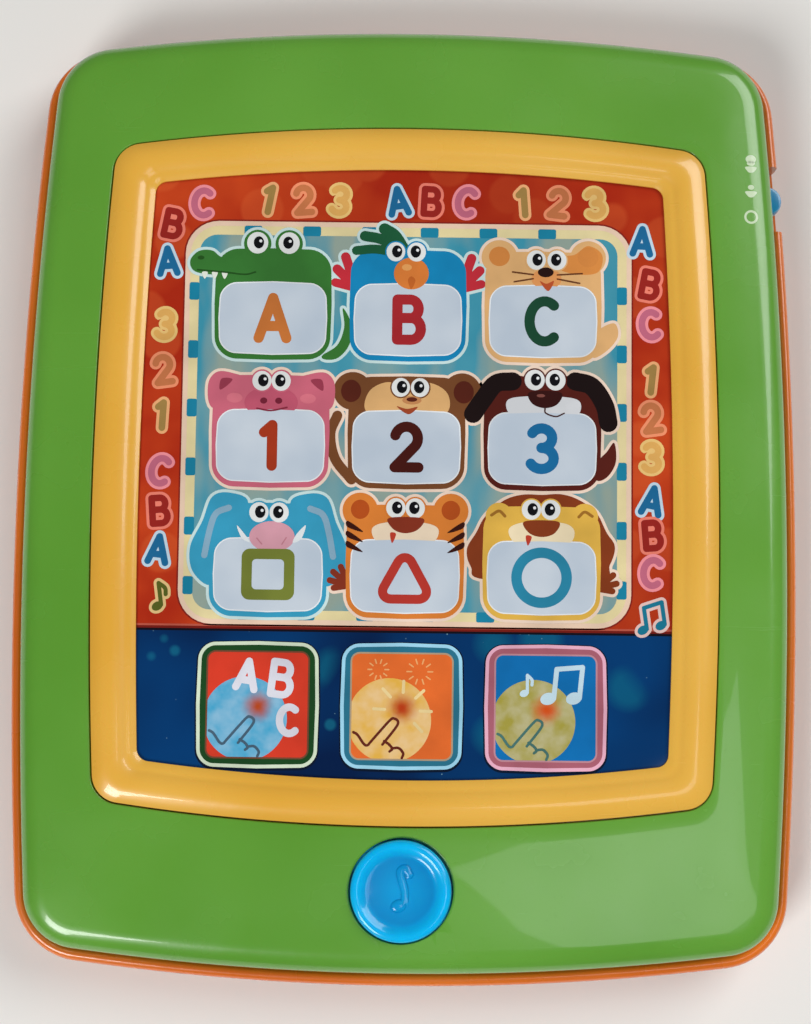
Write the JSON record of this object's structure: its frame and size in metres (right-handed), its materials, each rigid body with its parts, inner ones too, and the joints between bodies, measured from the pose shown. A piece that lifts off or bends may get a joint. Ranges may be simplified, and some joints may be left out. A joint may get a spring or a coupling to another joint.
{
  "type": "toy learning tablet",
  "caption": "Toy learning tablet: framed touch picture, press button and volume slider in two moulded shells, with a speaker and a battery bay behind.",
  "frame": {"origin": "centre of the footprint, on the surface that the back rests on", "axes": "+Z out of the picture face, +Y to the tablet's top edge, +X to the viewer's right"},
  "size_m": [0.19, 0.2326, 0.0265],
  "materials": {
    "green_shell": "glossy moulded ABS",
    "orange_shell": "glossy moulded ABS",
    "yellow_bezel": "glossy moulded ABS",
    "cyan_button": "translucent gloss",
    "cyan_slider": "gloss",
    "printed_sheet": "printed, clear gloss film",
    "clear_film": "satin polyester film",
    "grey_plastic": "matte",
    "white_plastic": "matte",
    "black_plastic": "matte",
    "silicone": "matte silicone",
    "circuit_board": "phenolic laminate",
    "capacitor_sleeve": "shrink sleeve",
    "plated_steel": "zinc plated",
    "magnet_steel": "dull",
    "nickel": "nickel plated",
    "speaker_paper": "pressed paper",
    "battery_jacket": "shrink jacket over steel",
    "red_wire": "PVC",
    "black_wire": "PVC"
  },
  "bodies": {
    "casing": {"backing_plate": "grey_plastic", "battery_1": "battery_jacket", "battery_2": "battery_jacket", "battery_wire_black": "black_wire", "battery_wire_red": "red_wire", "board_screw_1": "plated_steel", "board_screw_2": "plated_steel", "board_screw_3": "plated_steel", "board_screw_4": "plated_steel", "capacitor": "capacitor_sleeve", "case_screw_1": "plated_steel", "case_screw_2": "plated_steel", "case_screw_3": "plated_steel", "case_screw_4": "plated_steel", "case_screw_5": "plated_steel", "case_screw_6": "plated_steel", "contact_bridge": "nickel", "contact_plate_negative": "nickel", "contact_plate_positive": "nickel", "contact_spring_1": "nickel", "contact_spring_2": "nickel", "controller_blob": "black_plastic", "front_shell": "green_shell", "home_button_dome": "silicone", "main_board": "circuit_board", "membrane_connector": "white_plastic", "membrane_tail": "clear_film", "picture_sheet": "printed_sheet", "plate_screw_1": "plated_steel", "plate_screw_2": "plated_steel", "plate_screw_3": "plated_steel", "plate_screw_4": "plated_steel", "rear_shell": "orange_shell", "screen_bezel": "yellow_bezel", "slide_switch_case": "plated_steel", "speaker_clamp": "black_plastic", "speaker_frame": "plated_steel", "speaker_magnet": "magnet_steel", "speaker_screw_1": "plated_steel", "speaker_screw_2": "plated_steel", "speaker_wire_black": "black_wire", "speaker_wire_red": "red_wire", "switch_board": "circuit_board", "switch_cable": "grey_plastic", "touch_membrane": "clear_film"},
    "home_button": {"home_button_cap": "cyan_button"},
    "volume_slider": {"volume_knob": "cyan_slider", "slide_switch_lever": "black_plastic"},
    "speaker_cone": {"speaker_cone": "speaker_paper"},
    "battery_door": {"battery_door": "orange_shell"},
    "battery_door_screw": {"battery_door_screw": "plated_steel"}
  },
  "joints": [
    {"name": "home_button_press", "type": "slide", "parent": "casing", "child": "home_button", "axis": [0, 0, -1], "range_m": [0, 0.0015], "stiffness_N_per_m": 900, "springref_m": -0.0004, "deforming": ["home_button_dome"]},
    {"name": "volume_slide", "type": "slide", "parent": "casing", "child": "volume_slider", "axis": [0, 1, 0], "range_m": [-0.004, 0.004]},
    {"name": "speaker_cone_travel", "type": "slide", "parent": "casing", "child": "speaker_cone", "axis": [0, 0, 1], "range_m": [-0.0003, 0.0003], "stiffness_N_per_m": 800},
    {"name": "battery_door_hinge", "type": "hinge", "parent": "casing", "child": "battery_door", "pos_m": [0, 0.0117, 0], "axis": [-1, 0, 0], "range_deg": [0, 40]},
    {"name": "battery_door_screw_turn", "type": "hinge", "parent": "battery_door", "child": "battery_door_screw", "pos_m": [0, 0.052, 0], "axis": [0, 0, 1], "continuous": true}
  ]
}
